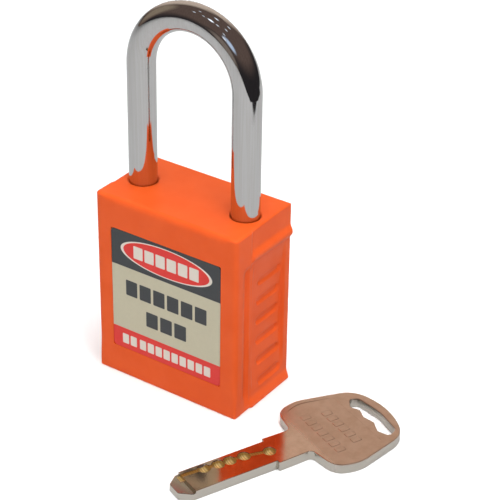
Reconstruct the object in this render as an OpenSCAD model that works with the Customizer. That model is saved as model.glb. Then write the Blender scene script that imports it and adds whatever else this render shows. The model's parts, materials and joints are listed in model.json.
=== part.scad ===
// Safety padlock: moulded body, ball-locked shackle, dimple-key cylinder and its key.
// Origin at the centre of the base. +X to the right, -Y to the front, +Z up. Millimetres.

/* [Body] */
// Width of the lock body across its front
body_w = 37.5; // [37.3:0.1:38]
// Depth of the lock body, front to back
body_d = 20.75; // [20.7:0.05:22]
// Height of the lock body
body_h = 45; // [45:0.25:47]
// Height of each grip pad's lip and foot beyond the body's side
pad_proud = 0.45; // [0.3:0.05:0.6]
// Depth of the thumb scoop's floor inside the body's side
scoop_depth = 1.4; // [1:0.05:1.45]
// Number of grip grooves on each side
grip_count = 6; // [3:1:6]
// Depth of a grip groove
grip_depth = 0.5; // [0.3:0.05:0.55]

/* [Label] */
// Width of the printed label
label_w = 29.2; // [28:0.1:30]
// Height of the printed label
label_h = 30.2; // [29:0.1:30.5]
// Height of the label's lower edge above the base
label_z = 7.25; // [6.5:0.25:8]
// Thickness of the label plate
label_t = 0.4; // [0.3:0.05:0.5]

/* [Shackle] */
// Diameter of the shackle bar
shackle_d = 6.3; // [6:0.05:6.35]
// Distance between the centres of the two legs
leg_gap = 27.2; // [27.1:0.1:27.4]
// Clear height from the body's top to the inside of the bow
clear_h = 38.3; // [25:0.1:76]
// Lift of the shackle when the lock opens
lift = 10.5; // [9.5:0.25:10.5]

/* [Lock] */
// Diameter of the turning plug
plug_d = 11; // [10.9:0.05:11]
// Travel of each locking ball
ball_travel = 3.4; // [3.2:0.1:3.5]
// Diameter of each locking ball
ball_d = 5.2; // [5.1:0.05:5.2]
// Number of pin stacks
pin_count = 5; // [3:1:5]
// Distance between pin stacks
pin_pitch = 4.2; // [4:0.1:4.2]

/* [Key] */
// Length of the key's blade
key_blade_l = 23; // [21:0.25:24]
// Width of the key's blade
key_blade_w = 7.3; // [7:0.1:7.5]
// Thickness of the key
key_t = 2.3; // [2:0.05:2.35]

/* [Hidden] */
$fn = 96;

run = 0.08;                       // running gap round everything that moves
snug = 0.03;                      // gap round pieces that are fixed in place
over = 1;                         // how far a cutting tool runs past a face

half_w = body_w / 2;
half_d = body_d / 2;
pad_x = half_w + pad_proud;       // outermost point of a grip pad
pad_front = -4.5;                 // front edge of a grip pad
front_edge_r = 0.8;               // radius of the upright edges at the front
back_edge_r = 0.5;
front_top_r = 1.4;
side_top_r = 0.5;
scoop_mid = 20;                   // height of the scoop's deepest point
scoop_half = 16;                  // half the scoop's height
rim_w = 2.1;                      // width of the flat rim behind the scoop
rim_front = 0.9;                  // width of the flat rim in front of the scoop
rim_depth = 0.35;                 // depth of the rim inside the body's side
shoulder_in = 0.3;                // how far the side steps in above the pad
lip_z = 38.3;                     // height of the pad's rounded lip
pad_top = 40.1;
foot_z = 2.7;                     // height of the pad's flared foot
valley_r = 1.6;                   // upright valley in front of the pad
valley_y = -5.9;
valley_out = 0.7;                 // how far the valley's centre lies outside the body's side
valley_z0 = 3;
valley_z1 = 36;
grip_pitch = 5.12;
grip_z0 = 4.8;
grip_l = 8.8;
grip_h = 2;
grip_y = 3.3;

cover_t = 2.6;
cover_w = 34;
cover_d = 16.8;
screw_at = [[14.5, 5.8], [-14.5, -5.8]];
screw_r = 1;
screw_head_r = 1.9;
screw_l = 10;

pocket_w = 19.8;
pocket_d = 15.8;
pocket_top = 42.5;
housing_w = pocket_w - 0.2;
housing_d = pocket_d - 0.2;
housing_top = 33;
plug_r = plug_d / 2;
plug_bore = plug_r + 0.03;
head_r = plug_r + 0.25;
plug_face = 0.4;
shoulder_z = 28.2;                // where the housing's bore opens out for the plug's clip
tail_r = 2.1;
tip_r = 1.5;
tip_flat = 1.1;
key_slot_w = 2.5;
key_slot_l = 7.9;
key_slot_top = 26.3;
tail_z = 30.2;
tip_z = 37.7;
plug_top = 41.9;
plug_clip_z = 28.43;
plug_clip_t = 0.8;
plug_groove_r = 4.9;
cam_clip_z = 40.93;
cam_clip_t = 0.4;
cam_groove_r = 1.05;
clip_gap = 0.02;                  // room above and round each clip in its groove

pin_r = 1.2;
pin_bore = 1.25;
pin_z0 = 7;
key_pin_x = 1.3;
shear_in = 5.35;
shear_out = 5.56;
driver_end = 7.4;
pin_cover_x = 9.2;
pin_cover_t = 0.6;
pin_cover_z = 5;
pin_cover_h = 21;

leg_x = leg_gap / 2;
leg_r = shackle_d / 2;
leg_end = 35.2;
bore_floor = 34.9;
bow_z = body_h + clear_h - leg_x + leg_r;
heel_r = 2.6;
heel_end = 12.5;
neck_r = 1.7;
neck_z0 = 15.3;
neck_z1 = 28;

ball_r = ball_d / 2;
ball_z = 39.3;
ball_x = 9.25;                    // locked place of each ball's centre
cam_z0 = 37.8;
cam_h = 3;
cam_room = 6.9;
carrier_z0 = 33.2;
carrier_z1 = 42.4;

stop_pin_r = 0.75;
stop_pin_x = -leg_x + heel_r - 0.1;
stop_pin_z = 26.9;

spring_wire = 0.3;
spring_r = 2.2;
spring_turns = 7;
pin_spring_wire = 0.12;
pin_spring_r = 0.95;
pin_spring_turns = 4;

// Key, drawn flat with its shoulder at the origin and its blade towards -X
key_at = [32.65, -17.85];
key_turn = 66.8;
key_dimples = [[0.3, 0], [-5.2, 1.3], [-8.6, 1.5], [-11.3, 1.7], [-14.6, 2]];
key_dimple_r = 1.8;               // radius of the ball that cuts a dimple
key_dimple_up = 1.05;             // height of that ball's centre above the key's face
key_track_at = [[0.3, 0], [-5.2, 1.3], [-20.5, 2.3]];
key_track_w = 1;
key_track_in = 0.15;
key_panel_in = 0.15;
key_tip_l = 3.2;                  // length of the thinned tip
key_tip_t = 1.7;                  // thickness of the thinned tip

// ---- Outlines -------------------------------------------------------------------------

function unit(v) = v / norm(v);

// Arc of n steps that rounds corner p, between neighbours a and b, to radius r
function corner(p, a, b, r, n) =
    let (u = unit(a - p))
    let (v = unit(b - p))
    let (half = acos(u * v) / 2)
    let (c = p + unit(u + v) * r / sin(half))
    let (from = p + u * r / tan(half) - c)
    let (to = p + v * r / tan(half) - c)
    let (w = 180 - 2 * half)
    [for (i = [0:n]) c + (sin(w * (1 - i / n)) * from + sin(w * i / n) * to) / sin(w)];

// Outline through points [x, y, r], each corner rounded to its own radius r
function rounded(q, n = 6) =
    [for (i = [0:len(q) - 1])
        let (p = q[i])
        let (a = q[(i + len(q) - 1) % len(q)])
        let (b = q[(i + 1) % len(q)])
        each p[2] > 0 ? corner([p[0], p[1]], [a[0], a[1]], [b[0], b[1]], p[2], n) : [[p[0], p[1]]]];

function box_outline(w, d, r) =
    rounded([[-w / 2, -d / 2, r], [w / 2, -d / 2, r], [w / 2, d / 2, r], [-w / 2, d / 2, r]]);

// Radius of the arc with half-chord h and rise s
function arc_radius(h, s) = (h * h + s * s) / (2 * s);

// ---- Shared shapes --------------------------------------------------------------------

module block(w, d, z0, z1, r) {
    translate([0, 0, z0])
        linear_extrude(z1 - z0)
            polygon(box_outline(w, d, r));
}

module rod_x(r, x0, x1, y, z) {
    translate([x0, y, z])
        rotate([0, 90, 0])
            cylinder(r = r, h = x1 - x0);
}

module rod_y(r, y0, y1, x, z) {
    translate([x, y0, z])
        rotate([-90, 0, 0])
            cylinder(r = r, h = y1 - y0);
}

module rod_z(r, z0, z1, x = 0, y = 0) {
    translate([x, y, z0])
        cylinder(r = r, h = z1 - z0);
}

// Stadium of length l along Y and height h along Z, running from x0 to x1
module slot_x(l, h, x0, x1, y, z) {
    translate([x0, y, z])
        rotate([0, 90, 0])
            linear_extrude(x1 - x0)
                polygon(rounded([[-h / 2, -l / 2, h / 2 - 0.01], [h / 2, -l / 2, h / 2 - 0.01],
                                 [h / 2, l / 2, h / 2 - 0.01], [-h / 2, l / 2, h / 2 - 0.01]]));
}

// Round wire wound about +Z: coil radius r, wire radius w, from the first ring's centre up
module coil(r, w, h, turns, steps, sides) {
    rings = turns * steps;
    points = [for (i = [0:rings], j = [0:sides - 1])
        let (a = 360 * i / steps)
        let (b = 360 * j / sides)
        [(r + w * cos(b)) * cos(a), (r + w * cos(b)) * sin(a), h * i / rings + w * sin(b)]];
    sides_faces = [for (i = [0:rings - 1], j = [0:sides - 1])
        let (k = (j + 1) % sides)
        [i * sides + j, i * sides + k, (i + 1) * sides + k, (i + 1) * sides + j]];
    first = [for (j = [0:sides - 1]) sides - 1 - j];
    last = [for (j = [0:sides - 1]) rings * sides + j];
    polyhedron(points, [for (f = concat([first], sides_faces, [last])) [for (n = f) n]], convexity = 10);
}

// ---- Body -----------------------------------------------------------------------------

// Plain block of the body, its upright and top edges rounded
module body_block() {
    top_z = body_h - side_top_r;
    intersection() {
        linear_extrude(body_h)
            polygon(rounded([[-half_w, -half_d, front_edge_r], [half_w, -half_d, front_edge_r],
                             [half_w, half_d, back_edge_r], [-half_w, half_d, back_edge_r]]));
        rotate([90, 0, 0])
            linear_extrude(body_d + 2 * over, center = true)
                polygon(rounded([[-half_w - over, 0, 0], [half_w + over, 0, 0],
                                 [half_w + over, top_z, 0], [half_w, top_z, 0],
                                 [half_w, body_h, side_top_r - 0.01],
                                 [-half_w, body_h, side_top_r - 0.01],
                                 [-half_w, top_z, 0], [-half_w - over, top_z, 0]]));
        rotate([90, 0, 90])
            linear_extrude(body_w + 2 * over, center = true)
                polygon(rounded([[-half_d, 0, 0], [half_d, 0, 0],
                                 [half_d, body_h, back_edge_r], [-half_d, body_h, front_top_r]]));
    }
}

// Grip pad on one side: flared foot, flat rim and rounded lip
module side_pad() {
    intersection() {
        translate([0, half_d, 0])
            rotate([90, 0, 0])
                linear_extrude(half_d - pad_front)
                    polygon(rounded([[half_w - 3, 0, 0], [pad_x, 0, 0], [pad_x, 0.5, 0.3],
                                     [half_w - rim_depth, foot_z, 1.5],
                                     [half_w - rim_depth, 2 * lip_z - pad_top, 1],
                                     [pad_x, lip_z, 0.7], [half_w - shoulder_in, pad_top, 0.7],
                                     [half_w - 3, pad_top + 0.01, 0]]));
        linear_extrude(body_h)
            polygon(rounded([[0, pad_front, 0], [pad_x, pad_front, 0.5],
                             [pad_x, half_d, back_edge_r], [0, half_d, 0]]));
    }
}

// Room that the pad stands in, and the step above it
module side_step() {
    translate([half_w - 2, pad_front, -over])
        cube([4, body_d, pad_top + over]);
    translate([half_w - shoulder_in, pad_front, pad_top - 0.01])
        cube([4, body_d, body_h]);
}

// What the thumb scoop takes away between y0 and y1, where the rim is flat
module scoop(y0, y1) {
    r = arc_radius(scoop_half, scoop_depth - rim_depth);
    intersection() {
        rod_y(r, y0, y1, half_w - scoop_depth + r, scoop_mid);
        translate([half_w - scoop_depth - over, y0 - over, scoop_mid - scoop_half])
            cube([scoop_depth + 2 * over, y1 - y0 + 2 * over, 2 * scoop_half]);
    }
}

// Scoop, upright valley and grip grooves of one side
module side_cuts() {
    r = arc_radius(scoop_half, scoop_depth - rim_depth);
    scoop(pad_front + rim_front, half_d - rim_w);
    rod_z(valley_r, valley_z0, valley_z1, half_w + valley_out, valley_y);
    for (z = [valley_z0, valley_z1])
        translate([half_w + valley_out, valley_y, z])
            sphere(r = valley_r);
    for (i = [0:grip_count - 1]) {
        z = grip_z0 + i * grip_pitch;
        face = half_w - scoop_depth + r - sqrt(r * r - pow(z - scoop_mid, 2));
        slot_x(grip_l, grip_h, face - grip_depth, half_w + 3, grip_y, z);
    }
}

module label_recess() {
    translate([0, -half_d + label_t + 0.05, label_z + label_h / 2])
        rotate([90, 0, 0])
            linear_extrude(over * 2)
                polygon(box_outline(label_w + 0.2, label_h + 0.2, 1));
}

module body_shell() {
    color([0.92, 0.38, 0.2])
    difference() {
        union() {
            difference() {
                body_block();
                for (side = [0, 1])
                    mirror([side, 0, 0])
                        side_step();
            }
            for (side = [0, 1])
                mirror([side, 0, 0])
                    side_pad();
        }
        for (side = [0, 1])
            mirror([side, 0, 0])
                side_cuts();
        label_recess();
        rotate([0, 0, 180])
            label_recess();
        block(cover_w, cover_d, -over, cover_t, 2);
        block(pocket_w, pocket_d, 0, pocket_top, 1);
        rod_z(heel_r + run, 0, bore_floor + over, -leg_x);
        rod_z(leg_r + run, bore_floor, body_h + over, -leg_x);
        rod_z(leg_r + run, bore_floor, body_h + over, leg_x);
        rod_x(ball_r + 0.06, -leg_x, leg_x, 0, ball_z);
        rod_y(stop_pin_r + snug, -half_d, half_d - 2.5, stop_pin_x, stop_pin_z);
        for (p = screw_at)
            rod_z(screw_r + snug, 0, screw_l + 0.5, p[0], p[1]);
    }
}

module base_cover() {
    color([0.86, 0.34, 0.18])
    difference() {
        block(cover_w - 0.1, cover_d - 0.1, 0, cover_t - snug, 1.95);
        rod_z(head_r + 0.1, -over, cover_t + over);
        for (p = screw_at) {
            rod_z(screw_r + 0.1, -over, cover_t + over, p[0], p[1]);
            translate([p[0], p[1], -0.01])
                cylinder(r1 = screw_head_r + 0.1, r2 = screw_r + 0.1, h = 1.05);
        }
    }
}

// Two countersunk screws that hold the base cover
module cover_screws() {
    color([0.55, 0.56, 0.58])
    for (p = screw_at)
        translate([p[0], p[1], 0]) {
            difference() {
                translate([0, 0, 0.15])
                    cylinder(r1 = screw_head_r - 0.15, r2 = screw_r, h = 0.8);
                for (a = [0, 90])
                    rotate([0, 0, a])
                        translate([-1.1, -0.2, 0])
                            cube([2.2, 0.4, 0.6]);
            }
            rod_z(screw_r, 0.9, screw_l);
        }
}

module front_label() {
    color([0.75, 0.72, 0.61])
    translate([0, -half_d + label_t + 0.04, label_z + label_h / 2])
        rotate([90, 0, 0])
            linear_extrude(label_t)
                polygon(box_outline(label_w, label_h, 0.9));
}

module back_label() {
    rotate([0, 0, 180])
        front_label();
}

// ---- Lock cylinder --------------------------------------------------------------------

function pin_z(i) = pin_z0 + (i - 1) * pin_pitch;

module lock_housing() {
    color([0.72, 0.7, 0.66])
    difference() {
        block(housing_w, housing_d, cover_t + 0.02, housing_top, 1.1);
        rod_z(plug_bore, 0, shoulder_z + over);
        rod_z(cam_room, shoulder_z, housing_top + over);
        for (i = [1:pin_count])
            rod_x(pin_bore, plug_r - 0.5, pin_cover_x + 0.02, 0, pin_z(i));
        translate([pin_cover_x, -2, pin_cover_z])
            cube([over, 4, pin_cover_h]);
    }
}

// Strip that closes the five pin chambers
module pin_chamber_cover() {
    color([0.83, 0.68, 0.35])
    translate([pin_cover_x + 0.01, -1.95, pin_cover_z + 0.05])
        cube([pin_cover_t - 0.02, 3.9, pin_cover_h - 0.1]);
}

module plug() {
    color([0.85, 0.69, 0.36])
    difference() {
        union() {
            rod_z(head_r, plug_face, 2.4);
            rod_z(plug_r, 2.4, tail_z);
            rod_z(tail_r, tail_z, tip_z);
            rod_z(tip_r, tip_z, plug_top);
        }
        translate([-key_slot_w / 2, -key_slot_l / 2, 0])
            cube([key_slot_w, key_slot_l, key_slot_top]);
        for (i = [1:pin_count])
            rod_x(pin_bore, 0, head_r + over, 0, pin_z(i));
        difference() {
            rod_z(plug_r + over, plug_clip_z - snug, plug_clip_z + plug_clip_t + clip_gap);
            rod_z(plug_groove_r, plug_clip_z - over, plug_clip_z + plug_clip_t + over);
        }
        translate([tip_flat, -3, tip_z])
            cube([3, 6, 5]);
        difference() {
            rod_z(tip_r + over, cam_clip_z - snug, cam_clip_z + cam_clip_t + clip_gap);
            rod_z(cam_groove_r, cam_clip_z - over, cam_clip_z + cam_clip_t + over);
        }
    }
}

// Open ring of outer radius ro and inner radius ri
module clip(ro, ri, z, t, mouth) {
    difference() {
        rod_z(ro, z, z + t);
        rod_z(ri, z - over, z + t + over);
        translate([0, -mouth / 2, z - over])
            cube([ro + over, mouth, t + 2 * over]);
    }
}

module plug_clip() {
    color([0.35, 0.36, 0.38])
    clip(6.6, plug_groove_r + clip_gap, plug_clip_z, plug_clip_t, 6.5);
}

module cam_clip() {
    color([0.35, 0.36, 0.38])
    clip(2.5, cam_groove_r + snug, cam_clip_z, cam_clip_t, 1.5);
}

// Ball centre's distance from the plug's axis at cam angle t, from -90 (open) to 0 (locked)
function pitch_r(t) = ball_x + ball_travel * t / 90;
pitch_slope = ball_travel / (PI / 2);

// Point of the cam face that touches the ball at cam angle t
function cam_point(t) =
    let (r = pitch_r(t))
    let (out = [cos(t), sin(t)])
    let (side = [-sin(t), cos(t)])
    r * out - (ball_r + run) * unit(r * out - pitch_slope * side);

// Dwell arc about the open ball, from straight inward to where the spiral starts
cam_dwell = [for (a = [90:-5:72.5]) [0, -pitch_r(-90)] + (ball_r + run) * [cos(a), sin(a)]];
cam_half = concat([[-5.7, -pitch_r(-90) + ball_r + run]], cam_dwell,
                  [for (t = [-90:5:0]) cam_point(t)]);

module cam() {
    color([0.62, 0.63, 0.65])
    translate([0, 0, cam_z0])
        linear_extrude(cam_h)
            difference() {
                polygon(concat(cam_half, [for (p = cam_half) -p]));
                intersection() {
                    circle(r = tip_r + snug);
                    translate([-3, -3])
                        square([3 + tip_flat + snug, 6]);
                }
            }
}

module ball_carrier() {
    color([0.7, 0.68, 0.64])
    difference() {
        block(housing_w, housing_d, carrier_z0, carrier_z1, 1.1);
        rod_z(cam_room, cam_z0 - 0.2, carrier_z1 + over);
        rod_z(tail_r + run, carrier_z0 - over, cam_z0);
        rod_x(ball_r + 0.06, -housing_w, housing_w, 0, ball_z);
    }
}

module locking_ball(side) {
    color([0.8, 0.81, 0.83])
    translate([side * ball_x, 0, ball_z])
        sphere(r = ball_r);
}

module heel_ball() {
    locking_ball(-1);
}

module toe_ball() {
    locking_ball(1);
}

// Pin with a coned nose towards the key and a flat end at the shear line
module key_pin(i) {
    color([0.85, 0.69, 0.36])
    translate([0, 0, pin_z(i)])
        rotate([0, 90, 0]) {
            translate([0, 0, key_pin_x])
                cylinder(r1 = 0.45, r2 = pin_r, h = 0.8);
            rod_z(pin_r, key_pin_x + 0.8, shear_in);
        }
}

module driver_pin(i) {
    color([0.75, 0.76, 0.78])
    rod_x(pin_r, shear_out, driver_end, 0, pin_z(i));
}

module pin_spring(i) {
    color([0.6, 0.61, 0.63])
    translate([driver_end + pin_spring_wire + 0.02, 0, pin_z(i)])
        rotate([0, 90, 0])
            coil(pin_spring_r, pin_spring_wire, pin_cover_x - driver_end - 2 * pin_spring_wire - 0.04,
                 pin_spring_turns, 16, 6);
}

// ---- Shackle --------------------------------------------------------------------------

// Ramped pocket that one ball sinks into, seen from the +X leg
module ball_notch() {
    translate([ball_x, 0, ball_z]) {
        sphere(r = ball_r + run);
        rotate([0, -180 + atan(ball_travel / lift), 0])
            cylinder(r = ball_r + run, h = 8);
    }
}

module shackle() {
    color([0.72, 0.73, 0.75])
    difference() {
        union() {
            translate([0, 0, bow_z])
                rotate([90, 0, 0])
                    rotate_extrude(angle = 180)
                        translate([leg_x, 0])
                            circle(r = leg_r);
            rod_z(leg_r, leg_end, bow_z, -leg_x);
            rod_z(leg_r, leg_end + 0.6, bow_z, leg_x);
            translate([leg_x, 0, leg_end])
                cylinder(r1 = leg_r - 0.6, r2 = leg_r, h = 0.6);
            rod_z(heel_r, neck_z1, leg_end, -leg_x);
            rod_z(neck_r, neck_z0, neck_z1, -leg_x);
            rod_z(heel_r, heel_end, neck_z0, -leg_x);
        }
        ball_notch();
        mirror([1, 0, 0])
            ball_notch();
    }
}

// Cross pin beside the heel leg's neck, which stops the leg's foot
module retaining_pin() {
    color([0.6, 0.61, 0.63])
    rod_y(stop_pin_r, -half_d + label_t + 0.2, half_d - 2.7, stop_pin_x, stop_pin_z);
}

module shackle_spring() {
    color([0.6, 0.61, 0.63])
    translate([-leg_x, 0, cover_t + spring_wire + 0.02])
        coil(spring_r, spring_wire, heel_end - cover_t - 2 * spring_wire - 0.04, spring_turns, 18, 8);
}

// ---- Key ------------------------------------------------------------------------------

key_half_w = key_blade_w / 2;
key_outline = rounded([
    [-key_blade_l, -key_half_w + 1.9, 0.5], [-key_blade_l + 2.4, -key_half_w, 0.5], [0, -key_half_w, 0],
    [0, -4.5, 0.3], [8.2, -4.3, 1.2], [9.2, -11.4, 4], [14.5, -13.2, 9], [28.2, -9.6, 6],
    [31.6, 0, 17], [28.2, 9.2, 6], [14.5, 12.6, 9], [9.2, 11, 4], [8.2, 4.3, 1.2], [1.1, 4.5, 0.3],
    [1.1, key_half_w, 0], [-key_blade_l + 2.4, key_half_w, 0.5], [-key_blade_l, key_half_w - 1.9, 0.5]]);

// Curved slot through the key's bow, with a scalloped inner edge
key_slot = rounded([
    [25.4, -8.6, 0.9], [24.1, -5.9, 0.9], [25.3, -2.9, 0.8], [24.5, -0.2, 0.9], [25.3, 2.4, 0.8],
    [24.1, 4.4, 0.9], [25.6, 6.9, 0.8], [27.5, 6, 1], [28.6, -0.4, 12], [27.8, -7.4, 1]]);

// Sunk panel on each face of the key's bow
key_panel = rounded([
    [10.3, -10.2, 3], [14.8, -11.9, 6], [22.9, -9.8, 1], [22.9, 9.3, 1], [14.8, 11.3, 6], [10.3, 9.8, 3]]);

// Shallow milled channel in the key's face from a to b
module key_track(a, b) {
    translate([(a[0] + b[0]) / 2, (a[1] + b[1]) / 2, key_t - key_track_in])
        rotate([0, 0, atan2(b[1] - a[1], b[0] - a[0])])
            linear_extrude(key_track_in + over)
                polygon(box_outline(norm(b - a) + key_track_w, key_track_w, key_track_w / 2 - 0.01));
}

module key() {
    color([0.74, 0.62, 0.54])
    translate([key_at[0], key_at[1], 0])
        rotate([0, 0, key_turn])
            difference() {
                linear_extrude(key_t)
                    polygon(key_outline);
                translate([0, 0, -over])
                    linear_extrude(key_t + 2 * over)
                        polygon(key_slot);
                for (p = key_dimples)
                    translate([p[0], p[1], key_t + key_dimple_up])
                        sphere(r = key_dimple_r, $fn = 32);
                for (i = [1:len(key_track_at) - 1])
                    key_track(key_track_at[i - 1], key_track_at[i]);
                for (z = [-over, key_t - key_panel_in])
                    translate([0, 0, z])
                        linear_extrude(key_panel_in + over)
                            polygon(key_panel);
                translate([-key_blade_l - over, -key_blade_w, key_tip_t])
                    cube([key_tip_l + over, 2 * key_blade_w, key_t]);
            }
}

// ---- Assembly -------------------------------------------------------------------------

body_shell();
base_cover();
cover_screws();
lock_housing();
pin_chamber_cover();
ball_carrier();
plug();
plug_clip();
cam();
cam_clip();
heel_ball();
toe_ball();
shackle();
retaining_pin();
shackle_spring();
front_label();
back_label();
key();
for (i = [1:pin_count]) {
    key_pin(i);
    driver_pin(i);
    pin_spring(i);
}
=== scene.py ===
import json
import math
import bmesh
import bpy
from mathutils import Matrix, Vector

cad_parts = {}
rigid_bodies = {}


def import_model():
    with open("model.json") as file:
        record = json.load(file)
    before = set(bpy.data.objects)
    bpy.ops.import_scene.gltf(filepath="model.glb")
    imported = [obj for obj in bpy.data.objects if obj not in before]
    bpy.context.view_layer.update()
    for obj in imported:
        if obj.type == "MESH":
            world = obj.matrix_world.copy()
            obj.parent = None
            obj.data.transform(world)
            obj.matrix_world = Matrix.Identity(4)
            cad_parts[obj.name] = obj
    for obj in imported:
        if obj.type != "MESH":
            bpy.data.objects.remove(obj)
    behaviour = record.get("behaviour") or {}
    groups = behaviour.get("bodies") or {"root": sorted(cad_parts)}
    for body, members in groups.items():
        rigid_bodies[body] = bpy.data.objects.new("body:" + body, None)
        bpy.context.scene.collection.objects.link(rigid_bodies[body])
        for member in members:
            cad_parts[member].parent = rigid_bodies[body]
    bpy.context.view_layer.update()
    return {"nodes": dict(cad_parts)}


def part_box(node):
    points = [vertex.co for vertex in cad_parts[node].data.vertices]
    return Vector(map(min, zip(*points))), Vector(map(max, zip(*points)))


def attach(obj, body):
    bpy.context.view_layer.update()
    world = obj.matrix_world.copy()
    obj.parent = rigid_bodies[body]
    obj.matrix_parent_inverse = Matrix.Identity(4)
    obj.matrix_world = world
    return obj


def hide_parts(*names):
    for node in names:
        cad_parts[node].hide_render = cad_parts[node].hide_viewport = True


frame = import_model()

# ---- Sizes, in millimetres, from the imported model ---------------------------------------

MM = 0.001


def node_box(node):
    """Lowest and highest corner of a CAD node, in millimetres."""
    return [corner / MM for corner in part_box(node)]


def far_corner(node):
    """Highest corner of a CAD node, in millimetres."""
    return node_box(node)[1]


shell = far_corner("body_shell")
shackle = far_corner("shackle")
cover = far_corner("base_cover")
housing = far_corner("lock_housing")
screws = far_corner("cover_screws")
label_lo, label_hi = node_box("front_label")
ball_lo, ball_hi = node_box("toe_ball")
stop_lo, stop_hi = node_box("retaining_pin")

PAD_PROUD = 0.45                  # how far each grip pad's lip and foot stand out from the body's side
HALF_W = shell.x - PAD_PROUD
HALF_D = shell.y
BODY_TOP = shell.z
BAR_R = shackle.y
LEG_X = shackle.x - BAR_R
BALL_R = (ball_hi.z - ball_lo.z) / 2
BALL_Z = (ball_hi.z + ball_lo.z) / 2
KEY_TOP = far_corner("key").z

# ---- Where the key lies: the origin of its own frame, and its turn in degrees ------------

KEY_AT = (32.65, -17.85, 0)
KEY_TURN = 66.8
KEY_FRAME = Matrix.Translation(KEY_AT) @ Matrix.Rotation(math.radians(KEY_TURN), 4, "Z")

# ---- Print on the labels, and lettering on the key ---------------------------------------

HEAD_Z = 28.6                     # foot of the plate's dark head
FOOT_Z = 12.5                     # top of its red foot
BADGE = (0.2, 33.2, 12.2, 3.6, 0.4)    # the oval: middle x and z, half width, half height, rim

# Rows of blocks: middle (x, z), count, pitch, block width, block height. On the key's bow the rows
# run across it, so there the middle is (across, along).
BADGE_ROWS = [((0.2, 33.2), 6, 3.0, 2.5, 3.1)]
MESSAGE_ROWS = [((0.1, 23.5), 6, 3.75, 3.1, 3.9), ((0.1, 17.2), 3, 3.85, 3.2, 3.8)]
FOOT_ROWS = [((x, 9.8), count, 2.2, 1.75, 2.5) for x, count in ((-10.1, 2), (-4.2, 3), (5.7, 6))]
WRITING_LINES = [((0, z), 1, 24, 23, 0.45) for z in (25.4, 20.9, 16.4)]
BOW_ROWS = [((-0.4, 13.6), 7, 2.2, 1.5, 2.2), ((-0.4, 18.4), 6, 2.2, 1.5, 2.2)]


# ---- Mesh tools -------------------------------------------------------------------------

def smooth(low, high, t):
    """0 below low, 1 above high, and an easy S between."""
    t = min(max((t - low) / (high - low), 0.0), 1.0)
    return t * t * (3 - 2 * t)


def link_mesh(bm, name):
    """A new object holding the bmesh, which is freed."""
    mesh = bpy.data.meshes.new(name)
    bm.to_mesh(mesh)
    bm.free()
    thing = bpy.data.objects.new(name, mesh)
    bpy.context.scene.collection.objects.link(thing)
    return thing


def drop(thing):
    """Removes an object and its mesh."""
    mesh = thing.data
    bpy.data.objects.remove(thing)
    bpy.data.meshes.remove(mesh)


def bored(bm, cutters):
    """The bmesh with every cutter's shape taken away."""
    host = link_mesh(bm, "host")
    tools = bpy.data.collections.new("tools")
    bpy.context.scene.collection.children.link(tools)
    for n, cutter in enumerate(cutters):
        tool = link_mesh(cutter, f"tool_{n}")
        tools.objects.link(tool)
    cut = host.modifiers.new("cut", "BOOLEAN")
    cut.operation = "DIFFERENCE"
    cut.solver = "EXACT"
    cut.operand_type = "COLLECTION"
    cut.collection = tools
    held = host.evaluated_get(bpy.context.evaluated_depsgraph_get())
    out = bmesh.new()
    out.from_mesh(held.to_mesh())
    held.to_mesh_clear()
    for tool in list(tools.objects):
        drop(tool)
    bpy.data.collections.remove(tools)
    drop(host)
    return out


def drum(r0, r1, start, end, sides=64):
    """Round bar from start to end, with radius r0 at its start and r1 at its end."""
    start = Vector(start)
    way = Vector(end) - start
    turn = way.to_track_quat("Z", "Y").to_matrix().to_4x4()
    bm = bmesh.new()
    bmesh.ops.create_cone(bm, cap_ends=True, segments=sides, radius1=r0, radius2=r1, depth=way.length,
                          matrix=Matrix.Translation(start + way / 2) @ turn)
    return bm


def slab(lo, hi, radius, axis=2):
    """Box between two corners, its edges along one axis rounded."""
    lo, hi = Vector(lo), Vector(hi)
    bm = bmesh.new()
    bmesh.ops.create_cube(bm, size=1,
                          matrix=Matrix.Translation((lo + hi) / 2) @ Matrix.Diagonal((*(hi - lo), 1)))
    edges = [e for e in bm.edges if abs((e.verts[0].co - e.verts[1].co)[axis]) > 1e-6]
    bmesh.ops.bevel(bm, geom=edges, offset=radius, segments=6, profile=0.5, affect="EDGES",
                    material=-1)
    return bm


LEVEL = 0.9999                    # upward part of a face's normal, above which the face is level
SMALL_FACE = 2e-7                 # in square metres; a larger level face is shaded flat


def finish_piece(bm, name, body, material, stands_for, sharp):
    """Turns a bmesh in millimetres into a piece on a CAD body, with edges over sharp degrees kept hard."""
    bmesh.ops.remove_doubles(bm, verts=bm.verts, dist=1e-5)
    bmesh.ops.recalc_face_normals(bm, faces=bm.faces)
    bmesh.ops.scale(bm, vec=(MM, MM, MM), verts=bm.verts)
    for face in bm.faces:
        face.smooth = abs(face.normal.z) < LEVEL or face.calc_area() < SMALL_FACE
    for edge in bm.edges:
        edge.smooth = edge.is_manifold and edge.calc_face_angle() < math.radians(sharp)
    piece = link_mesh(bm, name)
    piece.data.materials.append(material)
    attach(piece, body)
    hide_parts(*stands_for)
    return piece


# ---- Material tools ---------------------------------------------------------------------

def srgb(red, green, blue):
    """Screen colour, 0 to 255, as the linear colour that a shader takes."""
    def linear(c):
        c /= 255
        return c / 12.92 if c <= 0.04045 else ((c + 0.055) / 1.055) ** 2.4
    return (linear(red), linear(green), linear(blue), 1.0)


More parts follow.
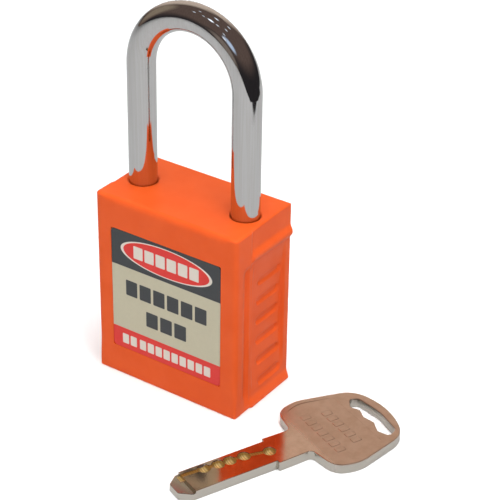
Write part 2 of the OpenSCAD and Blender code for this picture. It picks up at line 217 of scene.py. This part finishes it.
class Signal:
    """One value in a finish: a socket that takes part in arithmetic."""

    def __init__(self, finish, socket):
        self.finish = finish
        self.socket = socket

    def math(self, operation, *values):
        return self.finish.node("Math", dict(enumerate(values)), operation=operation)

    def __add__(self, other):
        return self.math("ADD", self, other)

    def __sub__(self, other):
        return self.math("SUBTRACT", self, other)

    def __rsub__(self, other):
        return self.math("SUBTRACT", other, self)

    def __mul__(self, other):
        return self.math("MULTIPLY", self, other)

    def __truediv__(self, other):
        return self.math("DIVIDE", self, other)

    __radd__ = __add__
    __rmul__ = __mul__

    def size(self):
        return self.math("ABSOLUTE", self)

    def high(self, other):
        return self.math("MAXIMUM", self, other)

    def root(self):
        return self.math("SQRT", self)

    def wrap(self, top):
        return self.math("WRAP", self, top, 0.0)

    def ease(self, low, high):
        """0 where this is below low, 1 above high, and smooth between."""
        return self.finish.node("MapRange", {"Value": self, "From Min": low, "From Max": high},
                                interpolation_type="SMOOTHSTEP")


class Finish:
    """A procedural material built on one Principled shader."""

    def __init__(self, name, **constants):
        self.material = bpy.data.materials.new(name)
        self.material.use_nodes = True
        self.tree = self.material.node_tree
        self.shader = self.tree.nodes["Principled BSDF"]
        self.paint(**constants)

    def node(self, kind, sockets=None, out=0, **settings):
        """Any node: its settings are set first, then its sockets' values or links."""
        made = self.tree.nodes.new("ShaderNode" + kind)
        for name, value in settings.items():
            setattr(made, name, value)
        for key, value in (sockets or {}).items():
            self.join(made.inputs[key], value)
        return Signal(self, made.outputs[out])

    def join(self, target, value):
        """Links a signal to a socket, or sets the socket's constant."""
        if isinstance(value, Signal):
            self.tree.links.new(value.socket, target)
        else:
            target.default_value = value

    def paint(self, **sockets):
        """Sets the shader's sockets, written with underscores for spaces."""
        for name, value in sockets.items():
            self.join(self.shader.inputs[name.replace("_", " ")], value)

    def place(self, centre=(0, 0, 0), turn=0.0):
        """Object coordinates in millimetres, from centre (in mm) and turned about Z."""
        spot = self.node("TexCoord", out="Object")
        return self.node("Mapping", {"Vector": spot, "Location": tuple(c * MM for c in centre),
                                     "Rotation": (0, 0, math.radians(turn)),
                                     "Scale": (MM, MM, MM)}, vector_type="TEXTURE")

    def axes(self, vector):
        """The three parts of a vector."""
        split = self.node("SeparateXYZ", {0: vector}).socket.node
        return [Signal(self, socket) for socket in split.outputs]

    def noise(self, vector, scale, detail=2.0, roughness=0.5):
        return self.node("TexNoise", {"Vector": vector, "Scale": scale, "Detail": detail,
                                      "Roughness": roughness})

    def mix(self, amount, one, two):
        """Colour one where amount is 0, two where it is 1."""
        return self.node("Mix", {0: amount, 6: one, 7: two}, out=2, data_type="RGBA")

    def bump(self, height, depth, strength=1.0, normal=None):
        """Relief: a height of 1 stands depth millimetres proud."""
        sockets = {"Height": height, "Distance": depth * MM, "Strength": strength}
        if normal is not None:
            sockets["Normal"] = normal
        return self.node("Bump", sockets)


# ---- Finishes ---------------------------------------------------------------------------

def moulded_nylon(name, colour, shade):
    """Satin moulded plastic: spark-eroded grain and faint flow marks."""
    f = Finish(name, IOR=1.5, Specular_IOR_Level=0.22)
    spot = f.place()
    cloud = f.noise(spot, 0.12, 3.0, 0.6)
    grain = f.noise(spot, 5.0, 3.0, 0.6)
    f.paint(Base_Color=f.mix(cloud.ease(0.3, 0.7), colour, shade),
            Roughness=0.36 + 0.1 * cloud + 0.06 * grain,
            Normal=f.bump(grain, 0.012, 0.5))
    return f.material


def chrome_plate():
    """Bright chrome over a polished bar, with fine draw marks along it."""
    f = Finish("chrome_plate", Metallic=1.0)
    spot = f.place()
    x, y, z = f.axes(spot)
    long_spot = f.node("CombineXYZ", {0: x * 3.0, 1: y * 3.0, 2: z * 0.05})
    draw = f.noise(long_spot, 1.0, 3.0, 0.6)
    haze = f.noise(spot, 0.2, 2.0)
    f.paint(Base_Color=f.mix(draw.ease(0.25, 0.75), srgb(194, 192, 190), srgb(202, 202, 202)),
            Roughness=0.035 + 0.05 * haze.ease(0.45, 0.7) + 0.02 * draw,
            Normal=f.bump(draw, 0.0005, 0.4))
    return f.material


def metal(name, colour, worn, rough, pitch, depth):
    """Plain machined or cast metal with a mottled surface of the given pitch."""
    f = Finish(name, Metallic=1.0)
    spot = f.place()
    mottle = f.noise(spot, pitch, 4.0, 0.65)
    fine = f.noise(spot, pitch * 6, 2.0)
    f.paint(Base_Color=f.mix(mottle.ease(0.35, 0.7), colour, worn),
            Roughness=rough + 0.14 * mottle,
            Normal=f.bump(0.6 * mottle + 0.4 * fine, depth, 0.6))
    return f.material


def block_row(f, x, z, centre, count, pitch, width, height):
    """Mask of a row of plain rounded blocks, standing for a line of print."""
    corner = 0.25
    blur = 0.06
    half = pitch * count / 2
    across = x - (centre[0] - half)
    beyond = (across - half).size().ease(half - 0.01, half + 0.01)
    past_side = ((across.wrap(pitch) - pitch / 2).size() - (width / 2 - corner)).high(0.0)
    past_end = ((z - centre[1]).size() - (height / 2 - corner)).high(0.0)
    reach = (past_side * past_side + past_end * past_end).root()
    return (1 - reach.ease(corner - blur, corner + blur)) * (1 - beyond)


def label_print(name, mirror, badge_rows, dark_rows, foot_rows):
    """Printed plate: dark head, cream field and red foot, with plain blocks for words."""
    f = Finish(name, IOR=1.5)
    spot = f.place()
    x, _, z = f.axes(spot)
    x = x * mirror
    paper = f.noise(spot, 1.4, 4.0, 0.6)
    fleck = f.noise(spot, 9.0, 2.0)
    cream = f.mix(paper, srgb(210, 203, 176), srgb(202, 195, 169))
    ink = f.mix(fleck, srgb(52, 55, 58), srgb(70, 73, 76))
    red = f.mix(paper, srgb(240, 58, 50), srgb(232, 52, 46))
    pale = srgb(238, 226, 214)
    blur = 0.04
    colour = f.mix(z.ease(HEAD_Z - blur, HEAD_Z + blur), cream, ink)
    colour = f.mix(z.ease(FOOT_Z - blur, FOOT_Z + blur), red, colour)
    for row in dark_rows:
        colour = f.mix(block_row(f, x, z, *row), colour, ink)
    for row in foot_rows:
        colour = f.mix(block_row(f, x, z, *row), colour, pale)
    if badge_rows:
        cx, cz, rx, rz, rim = BADGE
        oval = (((x - cx) / rx) * ((x - cx) / rx) + ((z - cz) / rz) * ((z - cz) / rz)).root()
        ring = 0.55 * rim / rz
        oval_blur = 0.012
        outer = 1 - oval.ease(1.0, 1.0 + oval_blur)
        inner = 1 - oval.ease(1 - ring, 1 + oval_blur - ring)
        colour = f.mix(outer, colour, pale)
        colour = f.mix(inner, colour, red)
        for row in badge_rows:
            colour = f.mix(block_row(f, x, z, *row), colour, pale)
    f.paint(Base_Color=colour, Roughness=0.42 + 0.12 * paper, Normal=f.bump(fleck, 0.004, 0.4))
    return f.material


def key_metal():
    """Nickel-plated brass, with bare brass where the blade is cut, painted brighter deeper in the cuts as
    a painted glint.
    """
    f = Finish("key_metal", Metallic=1.0)
    spot = f.place(KEY_AT, KEY_TURN)
    x, y, z = f.axes(spot)
    cloud = f.noise(spot, 0.35, 4.0, 0.6)
    grain = f.noise(spot, 4.0, 3.0, 0.6)
    blade = (1 - y.size().ease(2.9, 3.1)) * (1 - x.ease(2.0, 2.4)) * x.ease(-20.8, -20.5)
    slanted_tip = (1 - x.ease(-19.6, -19.4)) * (1 - y.ease(0.6, 1.4))
    inside = blade * (1 - slanted_tip)
    cut = (1 - z.ease(KEY_TOP - 0.14, KEY_TOP - 0.06)) * z.ease(0.9, 1.0) * inside
    plate = f.mix(cloud.ease(0.3, 0.7), srgb(200, 172, 152), srgb(212, 186, 168))
    # Painted highlight: below its top face the key is painted a paler grey, so its edges read as a bright
    # lit rim.
    side = (1 - z.ease(KEY_TOP - 0.2, KEY_TOP - 0.1)) * (1 - inside)
    plate = f.mix(side, plate, srgb(206, 200, 190))
    bow = x.ease(8.0, 10.5)
    relief = block_row(f, y, x, *BOW_ROWS[0]) + block_row(f, y, x, *BOW_ROWS[1])
    raised = f.bump(relief * z.ease(KEY_TOP - 0.1, KEY_TOP - 0.05), 0.13, 1.0)
    mill_pitch = 0.55
    ridges = (x.wrap(mill_pitch) / (mill_pitch / 2) - 1).size()
    # Painted glint: the deeper a cut goes, the paler and brighter its brass is painted. The darker stripes
    # are the mill marks.
    brass_and_glint = f.mix((KEY_TOP - z).ease(0.35, 0.76), srgb(184, 138, 70), srgb(255, 232, 156))
    brass_and_glint = f.mix(ridges.ease(0.2, 1.0) * 0.5, brass_and_glint, srgb(140, 96, 42))
    f.paint(Base_Color=f.mix(cut, plate, brass_and_glint),
            Metallic=1 - 0.3 * cut,
            Roughness=0.07 + 0.22 * bow + 0.08 * cloud + 0.2 * cut,
            Normal=f.bump(0.5 * cloud + 0.5 * grain, 0.016, 0.5, raised))
    return f.material


# ---- Body shell -------------------------------------------------------------------------

PAD_FRONT = -4.5                  # where the pad begins, from the body's middle
RIM_IN = 0.35                     # depth of the pad's flat rim inside the side
SHOULDER_IN = 0.3                 # how far the side steps in above the pad
LIP_Z = 38.3                      # height of the pad's rounded lip
LIP_REACH = 1.9                   # how far the lip runs out above and below
LIP_FLAT = 0.1                    # half the height of its crest
FOOT_H = 2.7                      # height of the pad's flared foot
SCOOP_MID = 20.0                  # height of the thumb scoop's middle
SCOOP_HALF = 16.4                 # half the scoop's height
SCOOP_IN = 1.05                   # depth of the scoop below the rim
VALLEY_Y = -6.0                   # the soft groove in front of the pad
VALLEY_W = 1.15                   # how far the groove spreads on either side
VALLEY_IN = 0.9                   # its depth
GRIPS = [4.8 + 5.12 * i for i in range(6)]    # heights of the grips
GRIP_Y, GRIP_L, GRIP_H, GRIP_IN = 3.3, 8.8, 2.0, 0.5    # their middle, length, height and depth

EDGE_R = 0.5                      # least rounding of the upright and the top edges
UPRIGHT_MORE = 0.5                # what the front uprights gain from the foot upwards
BROW_MORE = 1.2                   # what the top's front edge gains between its corners
BASE_EDGE_R = 0.3                 # rounding of the bottom edges

LATTICE = (44, 98, 219)           # cuts along x, y and z in the block that the body is pressed from
LEG_RUN = 0.08                    # clearance round the shackle's legs
OVERRUN = 1.0                     # how far a cutter stands out of the face that it cuts
LEG_FLOOR = 34.9                  # floor of the legs' full-width holes
HEEL_BORE_R = 2.68                # the narrower bore below, for the heel's neck and its spring
STOP_R = 0.75                     # radius of the retaining pin
SCREW_HOLE_R = 1.03               # the cover screws' holes
SCREW_HEAD_R = 1.75
LABEL_IN = 0.45                   # depth of the label's recess


def side_press(y, z):
    """How far the body's side stands out at (y, z) from its flat plane, in mm."""
    pad = smooth(PAD_FRONT - 0.55, PAD_FRONT + 0.25, y)
    foot = 1 - smooth(0.3, FOOT_H, z)
    lip = smooth(LIP_Z - LIP_REACH, LIP_Z - LIP_FLAT, z)
    lip *= 1 - smooth(LIP_Z + LIP_FLAT, LIP_Z + LIP_REACH, z)
    above = smooth(LIP_Z, LIP_Z + LIP_REACH, z)
    rim = -RIM_IN * (1 - above) - SHOULDER_IN * above
    rim += (PAD_PROUD + RIM_IN) * max(foot, lip)
    push = pad * rim
    valley = VALLEY_IN * math.exp(-((y - VALLEY_Y) / VALLEY_W) ** 2)
    push -= valley * smooth(0, 4.5, z) * (1 - smooth(34.8, 37.4, z))
    rise = 1 - ((z - SCOOP_MID) / SCOOP_HALF) ** 2
    if rise > 0:
        span = smooth(-3.95, -3.1, y) * (1 - smooth(7.9, 8.6, y))
        push -= SCOOP_IN * rise * span
    for grip_z in GRIPS:
        if abs(z - grip_z) < GRIP_H:
            past = max(abs(y - GRIP_Y) - (GRIP_L - GRIP_H) / 2, 0)
            reach = math.hypot(past, z - grip_z) - GRIP_H / 2
            push -= GRIP_IN * (1 - smooth(-0.42, 0.14, reach))
    return push


def lattice(cuts):
    """Unit cube whose faces are cut into an even lattice, cuts per axis."""
    bm = bmesh.new()
    bmesh.ops.create_cube(bm, size=1)
    for axis in (2, 1, 0):
        along = [e for e in bm.edges if abs((e.verts[0].co - e.verts[1].co)[axis]) > 0.5]
        bmesh.ops.subdivide_edges(bm, edges=along, cuts=cuts[axis], use_grid_fill=True)
    return bm


def round_off(p):
    """Moves a point of the plain box onto the body's rounded edges and pressed sides."""
    back = smooth(-5, 5, p.y)
    front = 1 - smooth(-HALF_D + 1.5, -HALF_D + 5, p.y)
    end = smooth(HALF_W - 4, HALF_W - 0.8, abs(p.x))
    upright = EDGE_R + UPRIGHT_MORE * smooth(1, 9, p.z) * (1 - back)
    crown = BODY_TOP / 2 < p.z
    rise = EDGE_R + BROW_MORE * front * (1 - end) if crown else BASE_EDGE_R
    core = Vector((min(max(p.x, -HALF_W + upright), HALF_W - upright),
                   min(max(p.y, -HALF_D + upright), HALF_D - upright),
                   min(p.z, BODY_TOP - rise) if crown else max(p.z, rise)))
    way = p - core
    turn = Vector((way.x / upright, way.y / upright, way.z / rise))
    if turn.length > 1:
        p = core + way / turn.length
    hold = min(max((abs(p.x) - HALF_W + upright) / upright, 0), 1)
    push = hold * side_press(p.y, p.z) if hold > 0 else 0
    return Vector((p.x + push if p.x > 0 else p.x - push, p.y, p.z))


def room_for(far, gap, low, high, radius):
    """Upright cutter about the middle, wider by gap than the piece whose highest corner is far."""
    x = far.x + gap
    y = far.y + gap
    return slab((-x, -y, low), (x, y, high), radius)


def label_cut(side):
    """Cutter for the label's recess, in the front (-1) or the back (1)."""
    gap = 0.1
    deep = side * (HALF_D - LABEL_IN)
    out = side * HALF_D + side
    return slab((label_lo.x - gap, min(deep, out), label_lo.z - gap),
                (label_hi.x + gap, max(deep, out), label_hi.z + gap), 0.4, axis=1)


def lock_body():
    """The moulded body, with its outside pressed to shape and its inside bored out."""
    bm = lattice(LATTICE)
    for v in bm.verts:
        t = v.co
        v.co = round_off(Vector((HALF_W * math.sin(math.pi * t.x), 2 * HALF_D * t.y,
                                 BODY_TOP * (t.z + 0.5))))
    leg_r = BAR_R + LEG_RUN
    ball_r = BALL_R + 0.06
    stop_r = STOP_R + 0.03
    stop_x = stop_lo.x + STOP_R
    stop_z = stop_lo.z + STOP_R
    cuts = [
        room_for(cover, 0.05, -OVERRUN, cover.z, 2.0),
        room_for(housing, 0.1, 1, 42.5, 1.0),
        drum(HEEL_BORE_R, HEEL_BORE_R, (-LEG_X, 0, 1.5), (-LEG_X, 0, 36)),
        drum(ball_r, ball_r, (-LEG_X, 0, BALL_Z), (LEG_X, 0, BALL_Z), 48),
        drum(stop_r, stop_r, (stop_x, -HALF_D + 0.2, stop_z), (stop_x, stop_hi.y + 0.2, stop_z), 24),
    ]
    for side in (-1, 1):
        leg = side * LEG_X
        cuts.append(drum(leg_r, leg_r, (leg, 0, LEG_FLOOR), (leg, 0, BODY_TOP + OVERRUN)))
        cuts.append(drum(leg_r - 0.05, leg_r + 1.2, (leg, 0, BODY_TOP - 0.3), (leg, 0, BODY_TOP + 0.95)))
        x = side * (screws.x - SCREW_HEAD_R)
        y = side * (screws.y - SCREW_HEAD_R)
        cuts.append(drum(SCREW_HOLE_R, SCREW_HOLE_R, (x, y, 1), (x, y, 10.5), 24))
        cuts.append(label_cut(side))
    bm = bored(bm, cuts)
    return finish_piece(bm, "lock_body", "root", ORANGE, ["body_shell"], sharp=48)


# ---- Key --------------------------------------------------------------------------------

PANEL_IN = 0.15                   # depth of the bow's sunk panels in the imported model
PANEL_FROM = 10                   # the panels lie farther along the key than this
STAMPED_EDGE = 0.13               # width of the eased edges


def cut_key():
    """The key with its stamped edges eased, above and below, and its panels less deep."""
    source = frame["nodes"]["key"]
    bm = bmesh.new()
    bm.from_mesh(source.data)
    bmesh.ops.transform(bm, matrix=Matrix.Scale(1 / MM, 4) @ source.matrix_world, verts=bm.verts)
    bmesh.ops.remove_doubles(bm, verts=bm.verts, dist=1e-3)
    bmesh.ops.dissolve_limit(bm, angle_limit=math.radians(1), verts=bm.verts, edges=bm.edges)
    to_key = KEY_FRAME.inverted()
    for v in bm.verts:
        along = (to_key @ v.co).x
        sunk = 0.08 - 0.065 * smooth(15, 21, along)
        if along > PANEL_FROM and abs(v.co.z - KEY_TOP + PANEL_IN) < 0.01:
            v.co.z = KEY_TOP - sunk
        elif along > PANEL_FROM and abs(v.co.z - PANEL_IN) < 0.01:
            v.co.z = sunk
    walls = [f for f in bm.faces if abs(f.normal.z) < 0.1
             and max(v.co.z for v in f.verts) - min(v.co.z for v in f.verts) > 1]
    rims = [e for e in {e for f in walls for e in f.edges} if e.calc_face_angle() > math.radians(35)
            and abs(e.verts[0].co.z - e.verts[1].co.z) < 1e-3]
    bmesh.ops.bevel(bm, geom=rims, offset=STAMPED_EDGE, segments=2, profile=0.5, affect="EDGES",
                    material=-1, clamp_overlap=True)
    return finish_piece(bm, "cut_key", "key", KEY, ["key"], sharp=38)


# ---- Build ------------------------------------------------------------------------------

ORANGE = moulded_nylon("orange_nylon", srgb(248, 99, 40), srgb(244, 94, 34))
COVER = moulded_nylon("cover_nylon", srgb(226, 80, 36), srgb(216, 74, 32))
CHROME = chrome_plate()
BRASS = metal("turned_brass", srgb(222, 186, 110), srgb(196, 158, 88), 0.24, 0.8, 0.01)
ZINC = metal("cast_zinc", srgb(176, 175, 170), srgb(150, 149, 146), 0.42, 1.2, 0.03)
BALL_STEEL = metal("ground_steel", srgb(206, 208, 212), srgb(186, 188, 192), 0.12, 0.5, 0.004)
SPRING_STEEL = metal("spring_steel", srgb(156, 158, 162), srgb(120, 122, 126), 0.3, 2.0, 0.006)
SCREW_STEEL = metal("plated_screw", srgb(190, 192, 190), srgb(160, 160, 150), 0.28, 1.5, 0.008)
KEY = key_metal()
FRONT = label_print("front_print", 1.0, BADGE_ROWS, MESSAGE_ROWS, FOOT_ROWS)
BACK = label_print("back_print", -1.0, [], WRITING_LINES, [])

NODE_FINISH = {
    "base_cover": COVER, "cover_screws": SCREW_STEEL, "lock_housing": ZINC, "pin_chamber_cover": BRASS,
    "ball_carrier": ZINC, "plug": BRASS, "plug_clip": SPRING_STEEL, "cam": ZINC,
    "cam_clip": SPRING_STEEL, "heel_ball": BALL_STEEL, "toe_ball": BALL_STEEL, "shackle": CHROME,
    "retaining_pin": SPRING_STEEL, "shackle_spring": SPRING_STEEL, "front_label": FRONT,
    "back_label": BACK, "key": KEY,
}
for number in range(1, 6):
    NODE_FINISH[f"key_pin_{number}"] = BRASS
    NODE_FINISH[f"driver_pin_{number}"] = BALL_STEEL
    NODE_FINISH[f"pin_spring_{number}"] = SPRING_STEEL
for node_name, material in NODE_FINISH.items():
    frame["nodes"][node_name].data.materials.clear()
    frame["nodes"][node_name].data.materials.append(material)

lock_body()
cut_key()

# ---- Stage tools ------------------------------------------------------------------------

scene = bpy.context.scene


def only_seen_by(thing, camera=False, glossy=False, diffuse=False):
    """Shows a piece of the stage only to the kinds of ray given."""
    thing.visible_camera = camera
    thing.visible_glossy = glossy
    thing.visible_diffuse = diffuse
    thing.visible_shadow = diffuse


def glow(level):
    """A grey, 0 to 1, as a colour."""
    return (level, level, level, 1)


def from_middle(paint):
    """Distance from the piece's middle in its own plane, in mm."""
    x, y, _ = paint.axes(paint.place())
    return (x * x + y * y).root()


def ground(name, grey, near, far, spot, **seen):
    """Plain level floor, seen only by the kinds of ray given, that glows from near to far."""
    bm = bmesh.new()
    bmesh.ops.create_grid(bm, x_segments=1, y_segments=1, size=4, matrix=Matrix.Translation(spot))
    plane = link_mesh(bm, name)
    paint = Finish(name, Base_Color=glow(grey), Roughness=0.8, Specular_IOR_Level=0.0,
                   Emission_Strength=1.0)
    paint.paint(Emission_Color=paint.mix(from_middle(paint).ease(120, 900), glow(near), glow(far)))
    plane.data.materials.append(paint.material)
    only_seen_by(plane, **seen)


def card(name, size, spot, colour, edge, strength=1.0):
    """Round panel, facing the lock, that only shows in reflections; its rim fades to any edge colour."""
    bm = bmesh.new()
    bmesh.ops.create_circle(bm, cap_ends=True, segments=48, radius=size)
    panel = link_mesh(bm, name)
    panel.location = spot
    panel.rotation_euler = (-Vector(spot)).to_track_quat("-Z", "Y").to_euler()
    paint = Finish(name, Base_Color=glow(0), Roughness=1.0, Specular_IOR_Level=0.0,
                   Emission_Color=colour, Emission_Strength=strength)
    if edge:
        reach = size / MM
        paint.paint(Emission_Color=paint.mix(from_middle(paint).ease(0.4 * reach, reach), colour, edge))
    panel.data.materials.append(paint.material)
    only_seen_by(panel, glossy=True)


def wall(name, radius, low, high, dark, pale, **seen):
    """Round wall, dark at the floor and pale at its top, seen only by the kinds of ray given."""
    bm = bmesh.new()
    bmesh.ops.create_cone(bm, cap_ends=False, segments=64, radius1=radius, radius2=radius,
                          depth=high - low, matrix=Matrix.Translation((0, 0, (low + high) / 2)))
    ring = link_mesh(bm, name)
    paint = Finish(name, Base_Color=glow(0), Roughness=1.0, Specular_IOR_Level=0.0,
                   Emission_Strength=1.0)
    z = paint.axes(paint.place())[2]
    paint.paint(Emission_Color=paint.mix(z.ease(0, high / MM), dark, pale))
    ring.data.materials.append(paint.material)
    only_seen_by(ring, **seen)


def softbox(name, spot, size, watts):
    """Square lamp, facing the lock, that doesn't show in reflections."""
    lamp = bpy.data.lights.new(name, "AREA")
    lamp.shape = "SQUARE"
    lamp.size = size
    lamp.energy = watts
    thing = bpy.data.objects.new(name, lamp)
    thing.location = spot
    thing.rotation_euler = Vector(spot).to_track_quat("Z", "Y").to_euler()
    thing.visible_glossy = False
    scene.collection.objects.link(thing)


# ---- Floor and light, in metres ---------------------------------------------------------

ground("floor", 0.93, 0.12, 0.85, (0, 0, 0), camera=True)
ground("floor_bounce", 0.58, 0, 0, (0, 0, -0.0008), diffuse=True)
ground("floor_mirrored", 0.58, 0, 0, (-3.84, 0, -0.0003), glossy=True)

scene.world = bpy.data.worlds.new("studio")
scene.world.use_nodes = True
sky = scene.world.node_tree.nodes["Background"].inputs
sky["Color"].default_value = glow(1)
sky["Strength"].default_value = 0.3

softbox("top_light", (0.12, -0.1, 0.92), 0.6, 8.4)
softbox("front_light", (-0.3, -0.9, 0.4), 0.3, 0.8)
softbox("side_light", (0.85, -0.45, 0.45), 0.3, 2.6)

DIM_CEILING = (0.15, 0.105, 0.09, 1)
card("ceiling", 2.4, (0.01, 0.01, 1.3), DIM_CEILING, None)
card("back_wall", 0.85, (-0.52, 0.76, 0.44), (0.76, 0.62, 0.52, 1), (0.12, 0.085, 0.07, 1))
card("front_wall", 0.45, (0.0, -1.25, 0.26), (0.28, 0.23, 0.2, 1), (0.07, 0.055, 0.05, 1))
card("left_wall", 0.6, (-1.1, -0.05, 0.5), (0.34, 0.27, 0.2, 1), (0.14, 0.1, 0.085, 1))
card("window", 0.26, (0.4, -0.76, 0.64), (0.55, 0.68, 0.9, 1), (0.1, 0.075, 0.065, 1), 1.3)

# The small lamps overhead: place, and a reach in millimetres that sets their size and strength
LAMPS = [(-0.41, -0.3, 0.95, 30), (-0.31, 0.02, 1.04, 26), (-0.2, -0.3, 1.0, 26), (-0.02, -0.32, 1.04, 62),
         (0.05, 0.27, 1.05, 45), (0.15, -0.3, 1.0, 34), (0.28, 0.52, 0.9, 36), (0.37, 0, 1.02, 34),
         (0.3, -0.55, 0.85, 30), (0.22, -0.8, 0.64, 44)]
for n, (*spot, reach) in enumerate(LAMPS):
    card(f"ceiling_lamp_{n}", 1.6 * reach * MM, spot, (0.8, 0.88, 1, 1), (0.06, 0.05, 0.045, 1),
         0.6 + reach / 30)

wall("surround", 2.3, -2.1, 1.3, (0.03, 0.027, 0.03, 1), DIM_CEILING, glossy=True)
wall("backdrop", 3.9, -0.1, 3.0, glow(1), glow(1), camera=True)

# ---- Camera -----------------------------------------------------------------------------

CAMERA_AZ = math.radians(34.301)
CAMERA_EL = math.radians(30.468)
CAMERA_ROLL = math.radians(0.998)
CAMERA_AIM = Vector((8.285, 9.714, 30.035)) * MM
CAMERA_FAR = 0.388651             # in metres

back = Vector((math.sin(CAMERA_AZ) * math.cos(CAMERA_EL), -math.cos(CAMERA_AZ) * math.cos(CAMERA_EL),
               math.sin(CAMERA_EL)))
right = Vector((math.cos(CAMERA_AZ), math.sin(CAMERA_AZ), 0))
up = back.cross(right)
rolled = Matrix((right * math.cos(CAMERA_ROLL) + up * math.sin(CAMERA_ROLL),
                 up * math.cos(CAMERA_ROLL) - right * math.sin(CAMERA_ROLL), back)).transposed()
lens = bpy.data.cameras.new("camera")
lens.sensor_width = 36
lens.lens = 126.79
camera = bpy.data.objects.new("camera", lens)
camera.matrix_world = Matrix.Translation(CAMERA_AIM + CAMERA_FAR * back) @ rolled.to_4x4()
scene.collection.objects.link(camera)
scene.camera = camera
scene.view_settings.view_transform = "Standard"
